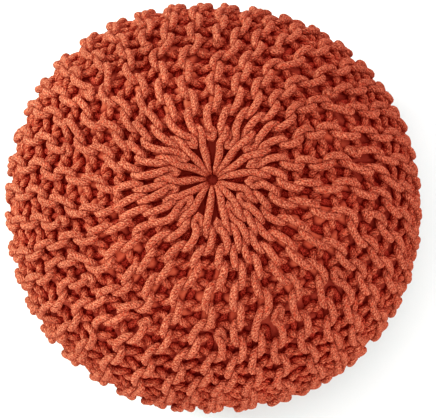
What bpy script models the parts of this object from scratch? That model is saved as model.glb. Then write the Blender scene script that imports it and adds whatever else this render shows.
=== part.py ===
"""Knitted pouf: a stuffed cloth bag inside a ribbed, open knit cover.

Metres, +Z up. The origin is on the floor under the centre of the base.
"""

import math
from collections import namedtuple

import bmesh
import bpy
import numpy as np

# Overall form, over the tops of the ribs
RADIUS = 0.250  # half of the pouf's width
HEIGHT = 0.300
WAIST_HEIGHT = 0.135  # height of the widest part
CONTACT_RADIUS = 0.125  # the base lies flat on the floor inside this
CROWN_FULLNESS = 2.25  # 2 is an ellipse, more is fuller
SIDE_FULLNESS = 2.15
DIMPLE_DEPTH = 0.007  # how far the gather is drawn in at the top
DIMPLE_RADIUS = 0.030
CORNER_SWELL = 0.012  # the stuffing pushes out four soft corners
LEAN_SWELL = 0.006  # and makes the outline a little uneven

# Knit cover
LONG_RIBS = 14  # these run from the top gather to the base
MIDDLE_RIBS = 2 * LONG_RIBS  # with one more between each two, where the first short rows end
SIDE_RIBS = 3 * LONG_RIBS  # and with two more, round the side
RIB_DEPTH = 0.008  # from a rib's top to the valley beside it
CORD_THICKNESS = 0.010  # the cover's thickness in a valley
COVER_DEPTH = RIB_DEPTH + CORD_THICKNESS  # from a rib's top to the cover's inside
RIB_WIDTH = 0.022  # at the foot of a rib, where there is room for it
RIB_SHARE = 0.60  # the most of the space that a rib takes where ribs are close
RIB_WAVE = 0.0030  # sideways, from stitch to stitch
KNOB_HEIGHT = 0.0025  # how far a rib stands up at each stitch

# Inner bag
BAG_CLEARANCE = 0.0005

# A row of points round the cover: its arc length from the top centre, its number of ribs, the share of the space
# that they cover (None works it out), how far they stand up, and whether the valleys below it are cut through
Row = namedtuple("Row", "arc ribs share knob open_below")
GATHER_ROWS = (
    Row(arc=0.006, ribs=LONG_RIBS, share=0.90, knob=0.0, open_below=False),  # the small hole in the gather
    Row(arc=0.020, ribs=LONG_RIBS, share=0.74, knob=0.0, open_below=True),
    Row(arc=0.042, ribs=LONG_RIBS, share=0.50, knob=0.0, open_below=False),
)

# A band of gaps: where its first row starts, how many rows it has, their spacing, and the length of one gap.
# The short rows of the knitting end just above each band, so that the ribs are 28 and then 42.
Band = namedtuple("Band", "start count pitch gap ribs")
GAP_BANDS = (
    Band(start=0.062, count=2, pitch=0.042, gap=0.027, ribs=MIDDLE_RIBS),
    Band(start=0.156, count=5, pitch=0.051, gap=0.034, ribs=SIDE_RIBS),
)
STEEP_FROM = 0.200  # a gap that starts below this has one more row, to follow the side's curve

# The ribs that reach each radius under the pouf, and the flat disc that closes the base
BaseRow = namedtuple("BaseRow", "radius ribs")
BASE_ROWS = (BaseRow(0.088, MIDDLE_RIBS), BaseRow(0.062, LONG_RIBS))
BASE_DISC_RADIUS = 0.045

SLOPE_STEP = 0.004  # the outline's slope is read this far to each side of a point
SHARP_ANGLE = math.radians(50)  # edges steeper than this are shaded sharp

COLOURS = {  # base colour, roughness
    "knit_cover": ((0.62, 0.16, 0.055, 1.0), 0.90),
    "inner_bag": ((0.36, 0.075, 0.040, 1.0), 0.95),
}


def clear_scene():
    for thing in list(bpy.data.objects):
        bpy.data.objects.remove(thing, do_unlink=True)


def quarter(fullness, steps=400):
    """A quarter of a rounded outline, from its end (0, 1) to its side (1, 0)."""
    turn = np.linspace(0.0, math.pi / 2, steps)
    return np.sin(turn) ** (2 / fullness), np.abs(np.cos(turn)) ** (2 / fullness)


class Meridian:
    """The pouf's side outline from the top centre, over the waist, to the centre of the base."""

    def __init__(self):
        across, up = quarter(CROWN_FULLNESS)
        radius = RADIUS * across
        height = WAIST_HEIGHT + (HEIGHT - WAIST_HEIGHT) * up
        height -= DIMPLE_DEPTH * np.exp(-((radius / DIMPLE_RADIUS) ** 2))
        across, up = quarter(SIDE_FULLNESS)
        under = CONTACT_RADIUS + (RADIUS - CONTACT_RADIUS) * across
        lower = WAIST_HEIGHT * (1 - up)
        self.radius = np.concatenate([radius, under[::-1][1:], [0.0]])
        self.height = np.concatenate([height, lower[::-1][1:], [0.0]])
        steps = np.hypot(np.diff(self.radius), np.diff(self.height))
        self.arc = np.concatenate([[0.0], np.cumsum(steps)])
        self.total = self.arc[-1]

    def at(self, arc):
        return np.array([np.interp(arc, self.arc, self.radius), np.interp(arc, self.arc, self.height)])

    def inside(self, arc, depth):
        """(radius, height) of the point that lies this deep under the outline."""
        low, high = max(arc - SLOPE_STEP, 0.0), min(arc + SLOPE_STEP, self.total)
        along = self.at(high) - self.at(low)
        along /= np.linalg.norm(along)
        outward = np.array([-along[1], along[0]])
        return self.at(arc) - depth * outward

    def arc_in_base(self, radius):
        """The arc length at which the flat base has this radius."""
        return self.total - radius


def girth(longitude):
    """How far the stuffing swells the round outline at this longitude."""
    corners = -CORNER_SWELL * math.cos(4 * longitude)
    return 1 + corners + LEAN_SWELL * math.sin(3 * longitude + 1.0)


def place(meridian, arc, longitude, depth):
    radius, height = meridian.inside(arc, depth)
    swell = 1 + (girth(longitude) - 1) * radius / RADIUS
    return (radius * swell * math.cos(longitude), radius * swell * math.sin(longitude), height)


def rib_share(meridian, arc, ribs):
    """The share of the space between two ribs' centres that one rib covers."""
    space = 2 * math.pi * meridian.at(arc)[0] / ribs
    return min(RIB_SHARE, RIB_WIDTH / space)


def cover_rows(meridian):
    """The cover's rows of points, from the hole in the gather to the last ribs under the base."""
    rows = list(GATHER_ROWS)
    for band in GAP_BANDS:
        for number in range(band.count):
            start = band.start + number * band.pitch
            rows.append(Row(start, band.ribs, None, KNOB_HEIGHT, True))
            if start > STEEP_FROM:
                rows.append(Row(start + band.gap / 2, band.ribs, None, 0.0, True))
            rows.append(Row(start + band.gap, band.ribs, None, KNOB_HEIGHT, False))
    last, contact = rows[-1].arc, meridian.arc_in_base(CONTACT_RADIUS)
    for share, knob in ((1 / 3, 0.0), (2 / 3, KNOB_HEIGHT), (1, KNOB_HEIGHT)):
        rows.append(Row(last + (contact - last) * share, SIDE_RIBS, None, knob, False))
    for row in BASE_ROWS:
        rows.append(Row(meridian.arc_in_base(row.radius), row.ribs, None, KNOB_HEIGHT, False))
    return rows


def row_longitudes(meridian, row, number):
    """For each rib of a row, the longitudes of its left foot, its top and its right foot."""
    pitch = 2 * math.pi / row.ribs
    share = row.share or rib_share(meridian, row.arc, row.ribs)
    side = 1 if number % 2 else -1
    wave = side * RIB_WAVE / meridian.at(row.arc)[0] if row.share is None else 0.0
    found = []
    for rib in range(row.ribs):
        centre = rib * pitch
        foot = share * pitch / 2
        found.append((centre - foot + wave / 2, centre + wave, centre + foot + wave / 2))
    return found


def make_ring(mesh, meridian, row, number, outer):
    """One row's points: three to a rib outside, two to a rib inside."""
    ring = []
    for left, top, right in row_longitudes(meridian, row, number):
        if outer:
            spots = ((left, RIB_DEPTH), (top, KNOB_HEIGHT - row.knob), (right, RIB_DEPTH))
        else:
            spots = ((left, COVER_DEPTH), (right, COVER_DEPTH))
        for longitude, depth in spots:
            point = mesh.verts.new(place(meridian, row.arc, longitude, depth))
            ring.append((longitude, point))
    return ring


def join_equal(mesh, upper, lower, skip):
    """Quads between two rings that have the same points. skip(i) leaves out the i-th."""
    count = len(upper)
    for i in range(count):
        if not skip(i):
            after = (i + 1) % count
            mesh.faces.new((upper[i][1], lower[i][1], lower[after][1], upper[after][1]))


def join_unequal(mesh, upper, lower):
    """Triangles between two rings with different numbers of points, taken in order of longitude."""
    i = j = 0
    full = 2 * math.pi

    def longitude(ring, k):
        return ring[k % len(ring)][0] + full * (k // len(ring))

    while i < len(upper) or j < len(lower):
        upper_is_next = i < len(upper) and longitude(upper, i + 1) < longitude(lower, j + 1)
        a, b = upper[i % len(upper)][1], lower[j % len(lower)][1]
        if j >= len(lower) or upper_is_next:
            i += 1
            mesh.faces.new((a, b, upper[i % len(upper)][1]))
        else:
            j += 1
            mesh.faces.new((a, b, lower[j % len(lower)][1]))


def wall_of_gap(mesh, outer_edge, inner_edge):
    mesh.faces.new((outer_edge[0], outer_edge[1], inner_edge[1], inner_edge[0]))


def frame_gaps(mesh, rings, row_number, rows):
    """The walls through the cover round each gap between this row and the next."""
    (outer_up, inner_up), (outer_low, inner_low) = rings[row_number], rings[row_number + 1]
    first = row_number == 0 or not rows[row_number - 1].open_below
    last = not rows[row_number + 1].open_below
    ribs = rows[row_number].ribs
    for rib in range(ribs):
        after = (rib + 1) % ribs
        right = [ring[3 * rib + 2][1] for ring in (outer_up, outer_low)]
        left = [ring[3 * after][1] for ring in (outer_up, outer_low)]
        inner_right = [ring[2 * rib + 1][1] for ring in (inner_up, inner_low)]
        inner_left = [ring[2 * after][1] for ring in (inner_up, inner_low)]
        wall_of_gap(mesh, right, inner_right)
        wall_of_gap(mesh, left, inner_left)
        if first:
            wall_of_gap(mesh, (right[0], left[0]), (inner_right[0], inner_left[0]))
        if last:
            wall_of_gap(mesh, (right[1], left[1]), (inner_right[1], inner_left[1]))


def make_cover(meridian):
    """The ribbed shell with its cut gaps, the small hole of the gather, and the flat disc of the base."""
    mesh = bmesh.new()
    rows = cover_rows(meridian)
    rings = []
    for number, row in enumerate(rows):
        rings.append([make_ring(mesh, meridian, row, number, outer) for outer in (True, False)])
    for number in range(len(rows) - 1):
        upper, lower = rings[number], rings[number + 1]
        is_open = rows[number].open_below
        if rows[number].ribs == rows[number + 1].ribs:
            join_equal(mesh, upper[0], lower[0], lambda i: is_open and i % 3 == 2)
            join_equal(mesh, upper[1], lower[1], lambda i: is_open and i % 2 == 1)
        else:
            join_unequal(mesh, upper[0], lower[0])
            join_unequal(mesh, upper[1], lower[1])
        if is_open:
            frame_gaps(mesh, rings, number, rows)
    join_unequal(mesh, rings[0][0], rings[0][1])
    close_base(mesh, meridian, rings[-1])
    return mesh


def close_base(mesh, meridian, last_rings):
    """The flat disc where the long ribs are gathered under the pouf."""
    edge = meridian.arc_in_base(BASE_DISC_RADIUS)
    outer, inner = last_rings
    for ring, depth in ((outer, 0.0), (inner, COVER_DEPTH)):
        rim = []
        for longitude, _ in ring:
            rim.append((longitude, mesh.verts.new(place(meridian, edge, longitude, depth))))
        join_equal(mesh, ring, rim, lambda i: False)
        centre = mesh.verts.new((0.0, 0.0, depth))
        for i in range(len(rim)):
            mesh.faces.new((rim[i][1], rim[(i + 1) % len(rim)][1], centre))


def make_bag(meridian):
    """The stuffed bag, a little inside the cover all round."""
    mesh = bmesh.new()
    depth = COVER_DEPTH + BAG_CLEARANCE
    columns = SIDE_RIBS
    arcs = [row.arc for row in cover_rows(meridian)] + [meridian.arc_in_base(BASE_DISC_RADIUS)]
    rings = []
    for arc in arcs:
        ring = []
        for column in range(columns):
            longitude = 2 * math.pi * (column + 0.5) / columns
            ring.append((longitude, mesh.verts.new(place(meridian, arc, longitude, depth))))
        rings.append(ring)
    for upper, lower in zip(rings, rings[1:]):
        join_equal(mesh, upper, lower, lambda i: False)
    for ring in (rings[0], rings[-1]):
        height = ring[0][1].co.z
        centre = mesh.verts.new((0.0, 0.0, height))
        for i in range(columns):
            mesh.faces.new((ring[i][1], ring[(i + 1) % columns][1], centre))
    return mesh


def finish(name, mesh):
    """Turns the faces outwards, shades them and gives the piece its material."""
    bmesh.ops.recalc_face_normals(mesh, faces=mesh.faces)
    data = bpy.data.meshes.new(name)
    mesh.to_mesh(data)
    mesh.free()
    data.shade_smooth()
    data.set_sharp_from_angle(angle=SHARP_ANGLE)
    piece = bpy.data.objects.new(name, data)
    bpy.context.scene.collection.objects.link(piece)
    colour, roughness = COLOURS[name]
    material = bpy.data.materials.new(name)
    material.use_nodes = True
    shader = material.node_tree.nodes["Principled BSDF"]
    shader.inputs["Base Color"].default_value = colour
    shader.inputs["Roughness"].default_value = roughness
    shader.inputs["Metallic"].default_value = 0.0
    data.materials.append(material)
    return piece


def main():
    clear_scene()
    meridian = Meridian()
    finish("knit_cover", make_cover(meridian))
    finish("inner_bag", make_bag(meridian))


main()
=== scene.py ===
# %% [markdown]
# # A knitted pouf
#
# The real object is a floor pouf: a stuffed cloth bag inside a cover that is knitted by hand from thick, soft
# cotton cord. The cover is garter stitch, worked back and forth, so its stitches stand up in wavy ridges. The
# ridges run from the gather in the middle of the top, over the side and down to the base.
#
# A pouf like this could be faked with a bump pattern on a ball, but its charm is that one can look in between
# the cords and see the bag. So here every loop of the cord is laid out as a path, the way the knitter made
# it, the paths are settled against each other until they touch, and each becomes a tube.

# %% Frame
import math

import bpy
import numpy as np
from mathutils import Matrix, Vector


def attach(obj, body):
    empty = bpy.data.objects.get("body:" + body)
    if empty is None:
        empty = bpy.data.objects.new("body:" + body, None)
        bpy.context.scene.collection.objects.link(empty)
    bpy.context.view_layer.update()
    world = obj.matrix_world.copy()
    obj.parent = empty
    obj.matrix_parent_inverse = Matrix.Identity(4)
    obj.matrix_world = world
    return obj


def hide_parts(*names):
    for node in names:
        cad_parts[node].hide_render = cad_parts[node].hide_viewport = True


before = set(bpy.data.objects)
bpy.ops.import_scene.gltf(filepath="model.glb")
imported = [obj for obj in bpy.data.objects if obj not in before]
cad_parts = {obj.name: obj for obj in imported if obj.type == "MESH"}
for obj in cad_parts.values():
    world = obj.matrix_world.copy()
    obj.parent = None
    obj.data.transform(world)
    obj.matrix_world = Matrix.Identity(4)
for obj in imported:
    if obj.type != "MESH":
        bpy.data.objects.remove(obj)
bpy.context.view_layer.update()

# %% [markdown]
# ## The form under the knitting
#
# Everything on the pouf is placed by three numbers: how far down from the middle of the top (an arc length
# along the outline), how far round (an angle), and how deep under the outermost surface. The outline is two
# quarters of a rounded, slightly squared curve, the same one as the solids have, with a shallow dimple at the
# gather. A real pouf is never quite round: its stuffing pushes out four soft corners.

# %% Outline
RADIUS = 0.250
HEIGHT = 0.300
WAIST_HEIGHT = 0.135
CONTACT_RADIUS = 0.125
CROWN_FULLNESS = 2.25
SIDE_FULLNESS = 2.15
DIMPLE_DEPTH = 0.007
DIMPLE_RADIUS = 0.030
CORNER_SWELL = 0.012  # the four soft corners
BROAD_SWELL = 0.006  # three broader sides
OVAL_SWELL = 0.0075  # a little longer one way than the other
SWELL_TURN = 1.0  # turns the last two away from the front, in radians


def quarter(fullness, steps=400):
    """A quarter of a rounded outline, from its end (0, 1) to its side (1, 0)."""
    turn = np.linspace(0.0, math.pi / 2, steps)
    return np.sin(turn) ** (2 / fullness), np.abs(np.cos(turn)) ** (2 / fullness)


class Outline:
    """Radius, height and outward direction at even steps of arc length from the middle of the top."""

    STEPS = 1301
    BLUR = 9

    def __init__(self):
        across, up = quarter(CROWN_FULLNESS)
        radius = RADIUS * across
        height = WAIST_HEIGHT + (HEIGHT - WAIST_HEIGHT) * up
        height -= DIMPLE_DEPTH * np.exp(-((radius / DIMPLE_RADIUS) ** 2))
        across, up = quarter(SIDE_FULLNESS)
        under = CONTACT_RADIUS + (RADIUS - CONTACT_RADIUS) * across
        lower = WAIST_HEIGHT * (1 - up)
        radius = np.concatenate([radius, under[::-1][1:], [0.0]])
        height = np.concatenate([height, lower[::-1][1:], [0.0]])
        steps = np.hypot(np.diff(radius), np.diff(height))
        arc = np.concatenate([[0.0], np.cumsum(steps)])
        self.length = arc[-1]
        self.arc = np.linspace(0.0, self.length, self.STEPS)
        self.radius = np.interp(self.arc, arc, radius)
        self.height = np.interp(self.arc, arc, height)
        slope = np.stack([np.gradient(self.radius, self.arc), np.gradient(self.height, self.arc)])
        kernel = np.ones(self.BLUR) / self.BLUR
        padded = [np.pad(row, self.BLUR // 2, "edge") for row in slope]
        slope = np.stack([np.convolve(row, kernel, "valid") for row in padded])
        slope /= np.hypot(*slope)
        self.out, self.up = -slope[1], slope[0]

    def at(self, arc):
        return [np.interp(arc, self.arc, row) for row in (self.radius, self.height, self.out, self.up)]


OUTLINE = Outline()
print(f"the outline is {OUTLINE.length * 1000:.0f} mm long, from the top's middle to the base's")

# %% Places on the pouf
def girth(angle):
    """How wide the pouf is at that angle, as a share of its radius."""
    return (
        1
        - CORNER_SWELL * np.cos(4 * angle)
        + BROAD_SWELL * np.sin(3 * angle + SWELL_TURN)
        + OVAL_SWELL * np.cos(2 * angle + SWELL_TURN)
    )


def on_pouf(arc, angle, depth):
    """The point at that arc length and angle, depth under the outermost surface."""
    radius, height, out, up = OUTLINE.at(arc)
    swell = 1 + (girth(angle) - 1) * radius / RADIUS
    reach = (radius - depth * out) * swell
    return np.stack([reach * np.cos(angle), reach * np.sin(angle), height - depth * up], -1)


COARSE = slice(None, None, 4)  # every fourth step of the outline is close enough for this
AT_ONCE = 4000  # points that are compared with the outline at a time


def outward(points):
    """The direction away from the pouf at each point, its arc length and its depth."""
    angle = np.arctan2(points[:, 1], points[:, 0])
    reach = np.hypot(points[:, 0], points[:, 1])
    reach = reach / (1 + (girth(angle) - 1) * np.minimum(reach / RADIUS, 1))
    radius, height = OUTLINE.radius[COARSE], OUTLINE.height[COARSE]
    out, up = OUTLINE.out[COARSE], OUTLINE.up[COARSE]
    nearest = np.empty(len(points), int)
    for start in range(0, len(points), AT_ONCE):
        part = slice(start, start + AT_ONCE)
        away = (reach[part, None] - radius) ** 2 + (points[part, 2:3] - height) ** 2
        nearest[part] = away.argmin(1)
    above = points[:, 2] - height[nearest]
    depth = -((reach - radius[nearest]) * out[nearest] + above * up[nearest])
    direction = np.stack([out[nearest] * np.cos(angle), out[nearest] * np.sin(angle), up[nearest]], -1)
    return direction, OUTLINE.arc[COARSE][nearest], depth


side = on_pouf(OUTLINE.length / 2, 0.0, 0.0) * 1000
print(f"halfway along the outline the surface is {side[0]:.0f} mm out and {side[2]:.0f} mm up")

# %% A gentle rise
def smooth_step(x):
    x = np.clip(x, 0, 1)
    return x * x * (3 - 2 * x)


def rise(x, start, span):
    """Rises gently from 0 at the start to 1 a span further on."""
    return smooth_step((x - start) / span)


print("a rise in quarters of its span:", [round(float(rise(x, 0, 4)), 2) for x in range(5)])

# %% [markdown]
# ## Where the ridges run
#
# The cover is 14 wedges, and each wedge is worked in short rows: one long ridge that reaches both gathers,
# one that stops a little short of them, and one that covers only the side. So 14 ridges meet at the top, 28
# cross the shoulder, and 42 go round the side. Each ridge takes its share of the way round, and its share
# fades in where it starts, so that its neighbours make room. Round the side the ridges lean a little, as
# knitting does.

# %% Ridges
WEDGES = 14
RIDGES = 3 * WEDGES
STITCHES = 13
FIRST_STITCH = 0.071  # arc length from the top's middle to the first stitch of a long ridge
STITCH = (OUTLINE.length - 2 * FIRST_STITCH) / (STITCHES - 1)
LONG, MIDDLE, SHORT = range(3)
KIND = np.arange(RIDGES) % 3
SKIPPED = (0, 0, 3)  # stitches that a long, a middle and a short ridge leave out at each end
FADE = 0.040  # arc length over which the neighbours of a shorter ridge make room
FADE_LEAD = 0.042  # how far before its first stitch that starts
TIP = 0.056  # how far from the middle a middle ridge's tip is, where it gets a little more room
TIP_SPAN = 0.014
TIP_ROOM = 0.6
LEAN = math.radians(11)
LEAN_RISE = (0.09, 0.08)  # arc length where the lean begins, and over which it grows
LEAN_END = 0.12  # how far from the middle of the base it ends
LEAN_RADIUS = 0.05  # nearer to the middle the lean grows no more
FIRST_ANGLE = math.radians(77)


def ridge_lines():
    """Each ridge's angle, and half of the angle that it takes, along the outline."""
    arc = OUTLINE.arc
    share = np.ones((RIDGES, len(arc)))
    for ridge in range(RIDGES):
        if KIND[ridge] != LONG:
            skipped = SKIPPED[KIND[ridge]]
            start = FIRST_STITCH + skipped * STITCH - FADE_LEAD
            end = FIRST_STITCH + (STITCHES - 1 - skipped) * STITCH + FADE_LEAD
            share[ridge] = smooth_step((arc - start) / FADE) * smooth_step((end - arc) / FADE)
            if KIND[ridge] == MIDDLE:
                for tip in (TIP, OUTLINE.length - TIP):
                    share[ridge] += TIP_ROOM * np.exp(-(((arc - tip) / TIP_SPAN) ** 2))
    total = share.sum(0)
    middle = np.cumsum(share, 0) - share / 2
    lean = np.tan(LEAN) * rise(arc, *LEAN_RISE) / np.maximum(OUTLINE.radius, LEAN_RADIUS)
    lean[arc > OUTLINE.length - LEAN_END] = 0
    steps = (lean[1:] + lean[:-1]) / 2 * np.diff(arc)
    turned = np.concatenate([[0.0], np.cumsum(steps)])
    angle = 2 * math.pi * (middle - middle[0]) / total + FIRST_ANGLE - turned
    return angle, math.pi * share / total


RIDGE_ANGLE, RIDGE_HALF = ridge_lines()
print(f"{RIDGES} ridges, a stitch every {STITCH * 1000:.0f} mm along each")

# %% [markdown]
# ## One ridge of garter stitch
#
# A ridge is two courses that hook into each other. On its left a course goes up: its loops reach over to the
# ridge in front and dip into the valley behind. On its right the next course comes down the other way, and
# its loops pass behind the ridge and show below it. Seen from outside, the tops of the one and the bottoms of
# the other follow each other like a chain of small arches. A sine wave with a second one on top of it draws
# such a loop, and a smooth step between front and back makes the cords pass each other on the right side.

# %% One course of loops
OVER = (0.0032, 0.0054)  # how far a loop reaches past the ridge's middle: on the top, round the side
OVER_RISE = (0.095, 0.075)  # arc length where that reach begins to grow, and over which it does
OVER_SHARE = 0.42  # where the ridges crowd, it is this share of a ridge's half width at most,
OVER_LEAST = 0.0008  # and so much besides
LOOP_WAIST = 0.158  # how much a loop narrows at its foot, as a share of a stitch
LOOP_ROUND = 0.020  # how much its head is rounded
SWAP_AT = 0.38  # how near to its turns a loop passes between front and back
SWAP_SPEED = 5
FRONT_DEPTH = 0.0044  # of the arcs on a ridge
LEG_DEPTH = 0.0081  # of the legs between two ridges
LEG_DEPTH_SWAY = 0.0010
BACK_DEPTH = 0.0155  # of the arcs hidden behind the legs
TIGHT_SIDE = math.radians(205)  # where the cover is pulled tightest, so that the legs lie highest
UNEVEN_STEP = 0.055  # how unevenly the loops follow each other, where a stitch is 2 pi
UNEVEN_OVER = 0.12  # how unevenly far they reach, as a share
UNEVEN_DEPTH = 0.0006
SPARE = 4  # half stitches drawn before the first one and after the last
LOOP_STEPS = 40


def front_or_back(turn):
    """1 round a loop's one turn, -1 round its other, and 0 along the legs between them."""
    c = np.cos(turn)
    return 0.5 * (np.tanh(SWAP_SPEED * (c - SWAP_AT)) + np.tanh(SWAP_SPEED * (c + SWAP_AT)))


def uneven(rng, turn, size):
    """A value for each half stitch, drawn from the generator and blended from one to the next."""
    knots = rng.normal(0.0, size, 2 * STITCHES + 2 * SPARE)
    where = turn / math.pi + SPARE
    low = np.floor(where).astype(int)
    part = smooth_step(where - low)
    return knots[low] * (1 - part) + knots[low + 1] * part


def course(side, turn, ridge, rng):
    """Arc length, angle and depth along a course. side is -1 left of the ridge, and 1 right of it."""
    stitches = (turn + uneven(rng, turn, UNEVEN_STEP)) / (2 * math.pi)
    stitches = stitches + LOOP_WAIST * np.sin(2 * turn) - LOOP_ROUND * np.sin(4 * turn)
    arc = FIRST_STITCH + STITCH * stitches
    radius = np.interp(arc, OUTLINE.arc, OUTLINE.radius)
    width = np.interp(arc, OUTLINE.arc, RIDGE_HALF[ridge]) * radius
    over = OVER[0] + (OVER[1] - OVER[0]) * rise(arc, *OVER_RISE)
    over = np.minimum(over, OVER_SHARE * width + OVER_LEAST) * (1 + uneven(rng, turn, UNEVEN_OVER))
    across = side * width / 2 + (width / 2 + over) * np.cos(turn)
    angle = np.interp(arc, OUTLINE.arc, RIDGE_ANGLE[ridge]) + across / radius
    legs = LEG_DEPTH - LEG_DEPTH_SWAY * np.cos(angle - TIGHT_SIDE)
    swing = side * front_or_back(turn)
    reach = np.where(swing < 0, legs - FRONT_DEPTH, BACK_DEPTH - legs)
    depth = legs + swing * reach + uneven(rng, turn, UNEVEN_DEPTH)
    return np.stack([arc, angle, depth], -1)


loop = course(1, np.linspace(0, 2 * math.pi, LOOP_STEPS), 0, np.random.default_rng(0))
print(f"one loop at the top swings {np.ptp(loop[:, 2]) * 1000:.0f} mm between front and back")

# %% [markdown]
# ## Where a ridge ends
#
# A short row turns round before it reaches the gather, and its turn shows as one small arch. A long ridge
# runs on into the gather. There the maker threads a cord through the edge loops and pulls it tight, so each
# strand comes in low, turns up round the little hole, and goes out again over itself. That is why the middle
# looks like spokes. The strands don't share the way round evenly, so each strays a little, by a value that is
# drawn once for each ridge.

# %% Turns
def through(points, count):
    """A smooth path of count points through the given ones, without the two at its ends."""
    points = np.array(points)
    slope = np.gradient(points, axis=0)
    where = np.linspace(0, len(points) - 1, count + 2)[1:-1]
    low = np.minimum(where.astype(int), len(points) - 2)
    t = (where - low)[:, None]
    a, b, sa, sb = points[low], points[low + 1], slope[low], slope[low + 1]
    leaving = (2 * t**3 - 3 * t**2 + 1) * a + (t**3 - 2 * t**2 + t) * sa
    return leaving + (3 * t**2 - 2 * t**3) * b + (t**3 - t**2) * sb


def ridge_at(ridge, arc, across, depth):
    """The place on a ridge, so far across from its middle."""
    radius = np.interp(arc, OUTLINE.arc, OUTLINE.radius)
    return np.array([arc, np.interp(arc, OUTLINE.arc, RIDGE_ANGLE[ridge]) + across / radius, depth])


ARCH_REACH = (0.0, 0.78, 0.60)  # how far each kind's turn is past its last stitch, in stitches
ARCH_STRAY = (-0.005, 0.010)  # how much a turn lies nearer to the gather or further from it
ARCH_DEPTH = FRONT_DEPTH + 0.0008  # a little deeper than the arcs beside it
ARCH_HALF = 0.0046  # half of a turn's width at its two feet
ARCH_FOOT = 0.009  # how far its feet are behind its tip
ARCH_SINK = 0.002  # how much deeper its feet are
ARCH_POINTS = 17


def turn_arch(ridge, start, end, first, sign, rng):
    """The cord at the end of a short row: one arch in front, from one course to the next."""
    tip = FIRST_STITCH + (first + sign * ARCH_REACH[KIND[ridge]]) * STITCH
    tip -= sign * rng.uniform(*ARCH_STRAY)
    feet = [
        ridge_at(ridge, tip - sign * ARCH_FOOT, across * ARCH_HALF, ARCH_DEPTH + ARCH_SINK)
        for across in (sign, -sign)
    ]
    return through([start, feet[0], ridge_at(ridge, tip, 0.0, ARCH_DEPTH), feet[1], end], ARCH_POINTS)


print(2 * np.count_nonzero(KIND != LONG), "turns, two for each shorter ridge")

# %% The gather
HOLE = 0.0066  # radius of the little hole
STRAND_STEP = 0.004
LOW_STRAND = (0.040, 0.010)  # between these distances from the middle a strand comes in, low
HIGH_STRAND = (0.0115, 0.042)  # and between these it goes out again, high
LOW_DEPTH = 0.0165
HIGH_DEPTH = 0.0060
TURN_UP = ((0.0005, 0.0150), (0.0, 0.0105))  # how far outside the hole, and how deep, it turns up
LOW_ASIDE = -0.0012  # how far it lies to the side of its ridge's middle, low and high
HIGH_ASIDE = 0.0008
WANDER = 0.0010  # how much that varies, in full at the reach below
WANDER_REACH = 0.03
GATHER_SHIFT = 0.14  # how far the strands stray round the gather, in radians
SHIFT_RISE = (0.016, 0.030)  # past this distance from the middle they stray less
SHIFT_SEED = 3
STRAY = np.random.default_rng(SHIFT_SEED).uniform(-GATHER_SHIFT, GATHER_SHIFT, RIDGES)


def gather(ridge, pole, sign, rng):
    """The cord from a long ridge into the gather and out again above. sign is 1 at the top."""
    wander = rng.normal(0, WANDER, 2)

    def at(reach, across, depth):
        stray = STRAY[ridge] * (1 - rise(reach, *SHIFT_RISE))
        return ridge_at(ridge, pole + sign * reach, across, depth) + np.array([0, stray, 0])

    path = [at(reach, LOW_ASIDE + wander[0], LOW_DEPTH) for reach in np.arange(*LOW_STRAND, -STRAND_STEP)]
    path += [at(HOLE + past, 0.0, depth) for past, depth in TURN_UP]
    for reach in np.arange(*HIGH_STRAND, STRAND_STEP):
        path.append(at(reach, HIGH_ASIDE + wander[1] * reach / WANDER_REACH, HIGH_DEPTH))
    return np.array(path)


path = gather(0, 0.0, 1, np.random.default_rng(0))
print(f"a strand into the gather and out again has {len(path)} points")

# %% A whole ridge
RUN_IN = (0.95, 0.60, 0.60)  # half stitches that a course of each kind has before its first stitch
RUN_OUT = 0.40  # and after its last one


def ridge_path(ridge, rng):
    """The whole cord of one ridge, as one closed path: up the left course, down the right one."""
    first = SKIPPED[KIND[ridge]]
    last = STITCHES - 1 - first
    step = 2 * math.pi / LOOP_STEPS
    low, high = 2 * math.pi * first, 2 * math.pi * last
    run_in, run_out = RUN_IN[KIND[ridge]] * math.pi, RUN_OUT * math.pi
    left = course(-1, np.arange(high + run_in, low - run_out, -step), ridge, rng)
    right = course(1, np.arange(low - run_in, high + run_out, step), ridge, rng)
    if KIND[ridge] == LONG:
        top = gather(ridge, 0.0, 1, rng)
        base = gather(ridge, OUTLINE.length, -1, rng)
    else:
        top = turn_arch(ridge, left[-1], right[0], first, -1, rng)
        base = turn_arch(ridge, right[-1], left[0], last, 1, rng)
    return np.concatenate([left, top, right, base])


path = ridge_path(0, np.random.default_rng(0))
print(f"a long ridge's cord is drawn with {len(path)} points")

# %% [markdown]
# ## Drawn out of true
#
# Nobody's hands make 900 equal stitches, and the cover is pulled over the bag afterwards. A few long, slow
# waves that run through the whole pouf shift each stitch a few millimetres along the cover, together with its
# neighbours.

# %% Slow waves
WAVES = 26
WAVE_LENGTHS = (0.050, 0.150)
WAVE_SIZE = 0.0020
WAVES_FELT = 6  # the waves together push as much as so many would
SHOULDER = 0.095  # arc length to the shoulder, where the waves are stronger
SHOULDER_SPAN = 0.035
SHOULDER_WAVES = 0.6
CALM_RISE = (0.010, 0.05)  # how far from a gather the waves begin, and over which length they grow
LAYING_SEED = 11
WAVE_SEED = 5


def slow_waves(points, rng):
    """A smooth push of a few millimetres for each point, the same for points that are close together."""
    heading = rng.normal(size=(WAVES, 3))
    heading /= np.linalg.norm(heading, axis=1)[:, None]
    length = rng.uniform(*WAVE_LENGTHS, WAVES)
    phase = rng.uniform(0, 2 * math.pi, WAVES)
    push = rng.normal(size=(WAVES, 3)) * WAVE_SIZE * (length / length.mean())[:, None]
    turns = points @ (heading * 2 * math.pi / length[:, None]).T + phase
    return np.sin(turns) @ push / math.sqrt(WAVES / WAVES_FELT)


SPACING = 0.004  # between two points of a cord


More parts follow.
